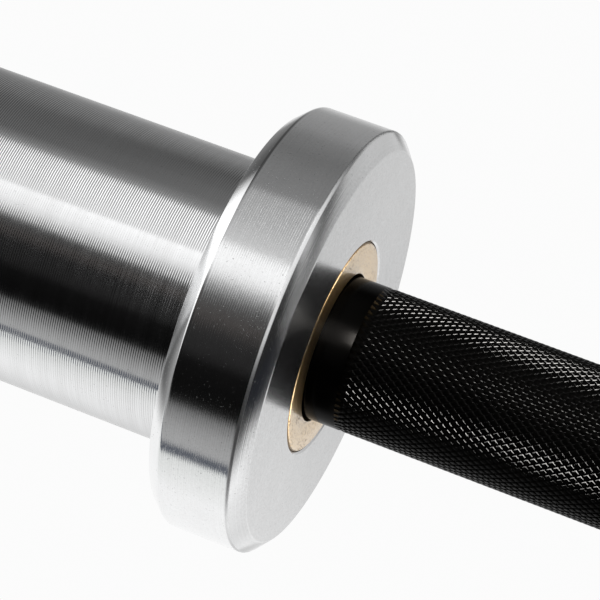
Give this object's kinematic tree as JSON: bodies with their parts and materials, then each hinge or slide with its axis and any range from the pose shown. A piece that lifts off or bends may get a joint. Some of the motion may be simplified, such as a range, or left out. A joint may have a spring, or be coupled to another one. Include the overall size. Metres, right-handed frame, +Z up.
{
  "type": "olympic barbell",
  "caption": "Straight weightlifting bar: a black knurled shaft with a bright, finely grooved sleeve, collar and bronze bushing spinning at each end.",
  "frame": {"origin": "on the bar's axis, half way along the shaft", "axes": "+X along the bar to the right sleeve, +Z up, +Y away from someone standing at the bar"},
  "size_m": [2.01, 0.074, 0.074],
  "materials": {
    "shaft_black": "satin black oxide",
    "sleeve_plating": "bright plating over fine turned grooves",
    "collar_plating": "bright plating over fine turning marks",
    "bushing_bronze": "machined, finely pitted",
    "washer_steel": "ground",
    "spring_steel": "dark phosphate",
    "cap_metal": "satin, bare"
  },
  "bodies": {
    "shaft": {"shaft": "shaft_black", "left_thrust_washer": "washer_steel", "left_end_washer": "washer_steel", "left_shim_washer": "washer_steel", "left_shaft_snap_ring": "spring_steel", "right_thrust_washer": "washer_steel", "right_end_washer": "washer_steel", "right_shim_washer": "washer_steel", "right_shaft_snap_ring": "spring_steel"},
    "left_sleeve_unit": {"left_sleeve": "sleeve_plating", "left_collar": "collar_plating", "left_inner_bushing": "bushing_bronze", "left_outer_bushing": "bushing_bronze", "left_end_cap": "cap_metal", "left_cap_snap_ring": "spring_steel"},
    "right_sleeve_unit": {"right_sleeve": "sleeve_plating", "right_collar": "collar_plating", "right_inner_bushing": "bushing_bronze", "right_outer_bushing": "bushing_bronze", "right_end_cap": "cap_metal", "right_cap_snap_ring": "spring_steel"}
  },
  "joints": [
    {"name": "left_sleeve_spin", "type": "hinge", "parent": "shaft", "child": "left_sleeve_unit", "pos_m": [-0.83775, 0, 0], "axis": [1, 0, 0], "continuous": true},
    {"name": "right_sleeve_spin", "type": "hinge", "parent": "shaft", "child": "right_sleeve_unit", "pos_m": [0.83775, 0, 0], "axis": [1, 0, 0], "continuous": true}
  ]
}
